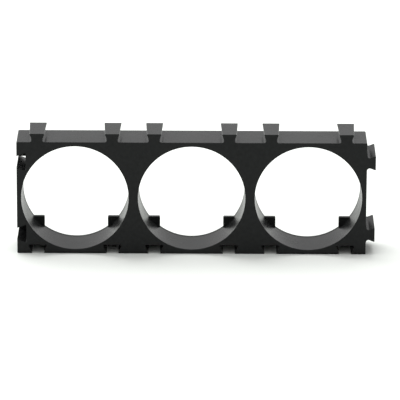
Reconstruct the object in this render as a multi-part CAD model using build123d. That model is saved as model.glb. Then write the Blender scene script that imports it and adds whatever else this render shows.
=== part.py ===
"""Battery cell holder bracket: a one-piece moulded row of three bores for 18650 cells.

Frame: X runs along the row of cells, Y runs along the cells, Z is up.
The cells slide in from the open side at -Y and seat on the corner stops at +Y.
The origin is on the axis of the middle bore, half way from the open side to the stops.
Brackets join side by side and stacked: the dovetail tabs on the top and on the
+X end slide into the dovetail slots that a neighbour has below and on its -X end.
All sizes are in millimetres and degrees.
"""
from build123d import *

import os
from math import cos, radians, tan

# The cells
cell_count = 3
cell_bore = 18.5
cell_wall = 1.6  # between two neighbouring bores, where they come closest

# The body
body_depth = 7.7
joint_gap = 0.1  # left between two joined brackets, so that the pitch carries on
body_edge_radius = 0.2
bore_rim_chamfer = 0.15
rear_draw = 0.06  # how far the bore's wall draws in behind the cell

# The corner stops behind each cell, measured from the cell's axis
stop_thickness = 0.7
stop_inset_x = 5.5
stop_inset_z = 5.45
stop_corner_radius = 0.2

# The dovetail tabs
tab_height = 1.5
tab_head_front = 2.56
tab_head_rear = 3.04
tab_flank_angle = 21.0  # undercut from square
tab_offset = 6.45  # from the cell's axis to the middle of a tab
tab_head_chamfer = 0.1

# The dovetail slots
flank_clearance = 0.08  # square to the flank, tab to slot
head_clearance = 0.1
slot_corner_radius = 0.15

# What follows from those sizes
cell_pitch = cell_bore + cell_wall
body_length = cell_count * cell_pitch - joint_gap
body_height = cell_pitch - joint_gap
seat_depth = body_depth - stop_thickness
front = -seat_depth / 2
seat = seat_depth / 2
rear = seat + stop_thickness
slot_depth = tab_height + head_clearance
flank_slope = tan(radians(tab_flank_angle))
root_overlap = 2 * body_edge_radius  # how far a tab runs into the body
top_face = Location((0, 0, body_height / 2))
bottom_face = Location((0, 0, -body_height / 2))
right_end = Location((body_length / 2, 0, 0), (0, 90, 0))
left_end = Location((-body_length / 2, 0, 0), (0, 90, 0))


def cell_centres():
    """Where the cell axes cross X."""
    return [(index - (cell_count - 1) / 2) * cell_pitch for index in range(cell_count)]


def row_places():
    """Places of the dovetails along the top and the bottom: two for each cell."""
    return [centre + side * tab_offset for centre in cell_centres() for side in (-1, 1)]


def end_places():
    """Places of the dovetails up each end."""
    return [-tab_offset, tab_offset]


def slab(x_range, y_range, z_range):
    """A box given by its limits along each axis."""
    limits = (x_range, y_range, z_range)
    sizes = [high - low for low, high in limits]
    middle = tuple((low + high) / 2 for low, high in limits)
    return Pos(*middle) * Box(*sizes)


def long_edges(shape, z):
    """The edges of a dovetail that run from front to rear at height z."""
    return [
        edge
        for edge in shape.edges()
        if abs(edge.center().Z - z) < 0.01 and edge.length > seat_depth / 2
    ]


def dovetail_tab():
    """One tab standing on z = 0, tapered from its wide rear end to its narrow front end."""
    width_per_length = (tab_head_rear - tab_head_front) / seat_depth
    spare = tab_height + root_overlap  # the ends lean in too, and are cut square beyond that
    front_half = (tab_head_front - spare * width_per_length) / 2
    rear_half = (tab_head_rear + spare * width_per_length) / 2
    corners = [
        (-front_half, front - spare),
        (front_half, front - spare),
        (rear_half, seat + spare),
        (-rear_half, seat + spare),
    ]
    head = Plane.XY.offset(tab_height) * Polygon(*corners, align=None)
    wedge = extrude(head, -spare, taper=tab_flank_angle)
    tab = wedge & slab((-rear_half, rear_half), (front, seat), (-root_overlap, tab_height))
    return chamfer(long_edges(tab, tab_height), tab_head_chamfer)


def dovetail_cutter():
    """What one slot takes away above z = 0: a tab's widest section with clearance."""
    tab_root = tab_head_rear / 2 - tab_height * flank_slope
    mouth = tab_root + flank_clearance / cos(radians(tab_flank_angle))
    head = mouth + slot_depth * flank_slope
    right = [(mouth, -body_edge_radius), (mouth, 0), (head, slot_depth)]
    left = [(-x, z) for x, z in reversed(right)]
    section = Plane.XZ.offset(-rear - 1) * Polygon(*right, *left, align=None)
    cutter = extrude(section, body_depth + 2)
    return fillet(long_edges(cutter, slot_depth), slot_corner_radius)


def block():
    """The plain block with its edges broken."""
    plain = slab(
        (-body_length / 2, body_length / 2), (front, rear), (-body_height / 2, body_height / 2)
    )
    return fillet(plain.edges(), body_edge_radius)


def bore_cutter():
    """What one cell bore takes away: round up to the seat, and drawing in behind it."""
    radius = cell_bore / 2
    bore = extrude(Plane.XZ.offset(-seat) * Circle(radius), 2 * seat_depth)
    cone = Cone(radius - 2 * rear_draw, radius, 2 * stop_thickness)
    return bore + Pos(0, rear, 0) * Rot(90, 0, 0) * cone


def bored_block():
    """The block with the cell bores right through, their front rims broken too."""
    bored = block()
    cutter = bore_cutter()
    for centre in cell_centres():
        bored -= Pos(centre, 0, 0) * cutter
    rims = [
        edge
        for edge in bored.edges().filter_by(GeomType.CIRCLE)
        if abs(edge.center().Y - front) < 0.01 and edge.radius > cell_bore / 4
    ]
    return chamfer(rims, bore_rim_chamfer)


def corner_stops():
    """The square plates in the rear corners of every cell, which stop cells and tabs."""
    reach_x = (stop_inset_x, cell_pitch / 2)
    reach_z = (stop_inset_z, body_height / 2)
    plate = slab(reach_x, (seat, rear), reach_z)
    inner = [
        edge
        for edge in plate.edges().filter_by(Axis.Y)
        if edge.center().X < reach_x[0] + 0.01 and edge.center().Z < reach_z[0] + 0.01
    ]
    plate = fillet(inner, stop_corner_radius)
    four = [plate, mirror(plate, Plane.YZ)]
    four += [mirror(one, Plane.XY) for one in four]
    stops = [Pos(centre, 0, 0) * one for centre in cell_centres() for one in four]
    return [stop & block() for stop in stops]


def cell_holder_bracket():
    """The whole moulding."""
    bracket = bored_block()
    cutter = dovetail_cutter()
    tab = dovetail_tab()
    for place in row_places():
        bracket -= bottom_face * Pos(place, 0, 0) * cutter
    for place in end_places():
        bracket -= left_end * Pos(place, 0, 0) * cutter
    for stop in corner_stops():
        bracket += stop
    for place in row_places():
        bracket += top_face * Pos(place, 0, 0) * tab
    for place in end_places():
        bracket += right_end * Pos(place, 0, 0) * tab
    return bracket


os.makedirs("parts", exist_ok=True)
export_step(cell_holder_bracket(), "parts/cell_holder_bracket.step")
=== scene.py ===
from math import cos, radians, sin, tan

import bpy
from mathutils import Matrix, Quaternion, Vector


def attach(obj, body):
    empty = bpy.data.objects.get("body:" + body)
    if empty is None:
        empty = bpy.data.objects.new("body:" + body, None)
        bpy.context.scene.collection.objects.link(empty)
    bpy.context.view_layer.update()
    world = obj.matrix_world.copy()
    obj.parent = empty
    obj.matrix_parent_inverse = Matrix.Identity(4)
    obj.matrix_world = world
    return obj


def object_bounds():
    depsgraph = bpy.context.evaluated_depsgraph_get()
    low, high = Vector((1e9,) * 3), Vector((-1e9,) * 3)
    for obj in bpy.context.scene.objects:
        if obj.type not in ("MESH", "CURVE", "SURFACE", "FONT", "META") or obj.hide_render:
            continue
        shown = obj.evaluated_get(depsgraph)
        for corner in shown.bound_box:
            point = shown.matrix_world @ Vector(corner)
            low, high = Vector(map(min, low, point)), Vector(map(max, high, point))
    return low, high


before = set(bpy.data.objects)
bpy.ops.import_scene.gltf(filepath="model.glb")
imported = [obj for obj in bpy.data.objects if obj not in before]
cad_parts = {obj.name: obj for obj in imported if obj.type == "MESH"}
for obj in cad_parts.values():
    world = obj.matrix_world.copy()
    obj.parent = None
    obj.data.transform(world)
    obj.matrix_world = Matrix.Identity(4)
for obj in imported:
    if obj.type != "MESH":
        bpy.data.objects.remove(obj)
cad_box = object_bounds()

open_side = cad_box[0][1]
camera_distance = 0.6456
camera_elevation = radians(17.3)
camera_azimuth = radians(0.12)
camera_roll = radians(0.24)
camera_lens = 337.7
aim_offset = Vector((0.00144, 0.0, -0.00024))

bores_middle = Vector((0.0, open_side, 0.0))
towards_camera = Vector((
    cos(camera_elevation) * sin(camera_azimuth),
    -cos(camera_elevation) * cos(camera_azimuth),
    sin(camera_elevation),
))
camera = bpy.data.objects.new("camera", bpy.data.cameras.new("camera"))
camera.location = bores_middle + camera_distance * towards_camera
sight = bores_middle + aim_offset - camera.location
camera.rotation_mode = "QUATERNION"
camera.rotation_quaternion = sight.to_track_quat("-Z", "Y")
camera.rotation_quaternion = camera.rotation_quaternion @ Quaternion((0, 0, 1), camera_roll)
camera.data.lens = camera_lens
camera.data.sensor_width = 36.0
camera.data.clip_end = 10.0
bpy.context.scene.collection.objects.link(camera)
bpy.context.scene.camera = camera

# The bracket
# One piece of black ABS, injection moulded. The tool leaves its faces semi-matt,
# with small marks all over, and a little smoother in some places than in others.
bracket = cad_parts["cell_holder_bracket"]
mark_size = 0.0007
cloud_size = 0.005
mark_depth = 0.00003


def linear(colour):
    """An sRGB hex colour as linear red, green, blue and alpha."""
    channels = [int(colour[i:i + 2], 16) / 255 for i in (1, 3, 5)]
    return [c / 12.92 if c <= 0.04045 else ((c + 0.055) / 1.055) ** 2.4 for c in channels] + [1.0]


def add_node(tree, kind, settings=None, **links):
    """Adds a node, sets its properties and sockets, and links its inputs."""
    node = tree.nodes.new(kind)
    for name, value in (settings or {}).items():
        if name in node.inputs:
            node.inputs[name].default_value = value
        else:
            setattr(node, name, value)
    for name, source in links.items():
        tree.links.new(source, node.inputs[name.replace("_", " ")])
    return node


def moulded_abs():
    """Black ABS from a fine spark-eroded tool: dark straight on, pale at a low angle."""
    material = bpy.data.materials.new("black_moulded_abs")
    material.use_nodes = True
    tree = material.node_tree
    shader = tree.nodes["Principled BSDF"]
    shader.inputs["IOR"].default_value = 1.45
    shader.inputs["Specular IOR Level"].default_value = 0.1
    places = add_node(tree, "ShaderNodeTexCoord").outputs["Object"]
    # The tool's marks, and the slower clouds in how smooth it is.
    marks = add_node(tree, "ShaderNodeTexNoise", {"Scale": 1 / mark_size, "Detail": 4.0}, Vector=places)
    cloud = add_node(tree, "ShaderNodeTexNoise", {"Scale": 1 / cloud_size, "Detail": 2.0}, Vector=places)
    tint = add_node(tree, "ShaderNodeMix", {"data_type": "RGBA"}, Factor=marks.outputs["Fac"])
    tint.inputs["A"].default_value = linear("#161717")
    tint.inputs["B"].default_value = linear("#262727")
    tree.links.new(tint.outputs["Result"], shader.inputs["Base Color"])
    rough = add_node(
        tree, "ShaderNodeMapRange", {"To Min": 0.18, "To Max": 0.32}, Value=cloud.outputs["Fac"]
    )
    tree.links.new(rough.outputs["Result"], shader.inputs["Roughness"])
    bump = add_node(
        tree, "ShaderNodeBump", {"Strength": 0.35, "Distance": mark_depth}, Height=marks.outputs["Fac"]
    )
    tree.links.new(bump.outputs["Normal"], shader.inputs["Normal"])
    return material


abs_plastic = moulded_abs()
for material_slot in bracket.material_slots:
    material_slot.material = abs_plastic

# The tab roots
# Each dovetail tab runs into the body in a small fillet along both flanks, where
# the tool's corner is rounded, so that the tab's foot looks as broad as its head.
import bmesh

mm = 0.001
cell_pitch = 20.1
tab_offset = 6.45
tab_height = 1.5
tab_head_front = 2.56
tab_head_rear = 3.04
flank_angle = radians(21.0)
root_radius = 0.45
tab_front = cad_box[0][1] / mm
tab_length = 7.0
body_top = cad_box[1][2] / mm - tab_height
body_right = cad_box[1][0] / mm - tab_height
buried = 0.2
inset = 0.01
arc_steps = 12


def root_section(half_root):
    """Across one flank at a tab's foot, in mm: out from the tab's middle, and up."""
    reach = root_radius / tan((radians(90.0) - flank_angle) / 2)
    sweep = radians(90.0) + flank_angle
    turns = [-radians(90.0) - sweep * step / arc_steps for step in range(arc_steps + 1)]
    arc = [
        (half_root + reach + root_radius * cos(turn), root_radius * (1 + sin(turn)))
        for turn in turns
    ]
    inside = half_root - buried
    return [(inside, -buried), (half_root + reach, -buried), *arc, (inside, arc[-1][1])]


def add_root(mesh, side, place):
    """One fillet of a tab, on its right (1) or left (-1) flank, turned to its place."""
    flank_run = tab_height * tan(flank_angle)
    front_side, rear_side = (
        [
            mesh.verts.new(place @ (mm * Vector((side * out, y, up))))
            for out, up in root_section(head / 2 - flank_run)
        ]
        for head, y in (
            (tab_head_front, tab_front + inset),
            (tab_head_rear, tab_front + tab_length - inset),
        )
    )
    mesh.faces.new(front_side)
    mesh.faces.new(rear_side)
    for index in range(len(front_side)):
        mesh.faces.new((
            front_side[index - 1], front_side[index], rear_side[index], rear_side[index - 1]
        ))


tab_feet = [
    Matrix.Translation(mm * Vector((cell * cell_pitch + offset, 0, body_top)))
    for cell in (-1, 0, 1)
    for offset in (-tab_offset, tab_offset)
]
tab_feet += [
    Matrix.Translation(mm * Vector((body_right, 0, offset))) @ Matrix.Rotation(radians(90.0), 4, "Y")
    for offset in (-tab_offset, tab_offset)
]
roots_mesh = bpy.data.meshes.new("tab_roots")
outline = bmesh.new()
for foot in tab_feet:
    for side in (-1, 1):
        add_root(outline, side, foot)
bmesh.ops.recalc_face_normals(outline, faces=outline.faces)
outline.to_mesh(roots_mesh)
outline.free()
roots_mesh.materials.append(abs_plastic)
tab_roots = bpy.data.objects.new("tab_roots", roots_mesh)
bpy.context.scene.collection.objects.link(tab_roots)
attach(tab_roots, "root")

# The table
# A plain white sheet that the bracket stands on, wide enough to fill every view.
table_width = 4.0
table_mesh = bpy.data.meshes.new("table")
outline = bmesh.new()
bmesh.ops.create_grid(outline, x_segments=1, y_segments=1, size=table_width / 2)
bmesh.ops.translate(outline, verts=outline.verts, vec=(0, 0, cad_box[0][2]))
outline.to_mesh(table_mesh)
outline.free()
table = bpy.data.objects.new("table", table_mesh)
bpy.context.scene.collection.objects.link(table)
paper = bpy.data.materials.new("white_paper")
paper.use_nodes = True
paper.node_tree.nodes["Principled BSDF"].inputs["Base Color"].default_value = linear("#f3f6f2")
paper.node_tree.nodes["Principled BSDF"].inputs["Roughness"].default_value = 0.9
paper.node_tree.nodes["Principled BSDF"].inputs["Specular IOR Level"].default_value = 0.1
table_mesh.materials.append(paper)

# The light
# A white tent all round, and one large soft lamp above and behind. The tent looks
# fully white, and lights matt faces less than that, so that the slots stay dark.
tent = bpy.data.worlds.new("tent")
tent.use_nodes = True
tent.node_tree.nodes["Background"].inputs["Color"].default_value = linear("#ffffff")
sight_path = add_node(tent.node_tree, "ShaderNodeLightPath")
tent_strength = add_node(
    tent.node_tree, "ShaderNodeMapRange", {"To Min": 1.0, "To Max": 0.6},
    Value=sight_path.outputs["Is Diffuse Ray"],
)
tent.node_tree.links.new(
    tent_strength.outputs["Result"], tent.node_tree.nodes["Background"].inputs["Strength"]
)
bpy.context.scene.world = tent

lamp = bpy.data.objects.new("top_lamp", bpy.data.lights.new("top_lamp", "AREA"))
lamp.data.shape = "DISK"
lamp.data.size = 1.0
lamp.data.energy = 9.0
lamp.location = (-0.15, 0.28, 0.8)
lamp.rotation_mode = "QUATERNION"
lamp.rotation_quaternion = lamp.location.to_track_quat("Z", "Y")
bpy.context.scene.collection.objects.link(lamp)

bpy.context.scene.view_settings.view_transform = "Standard"
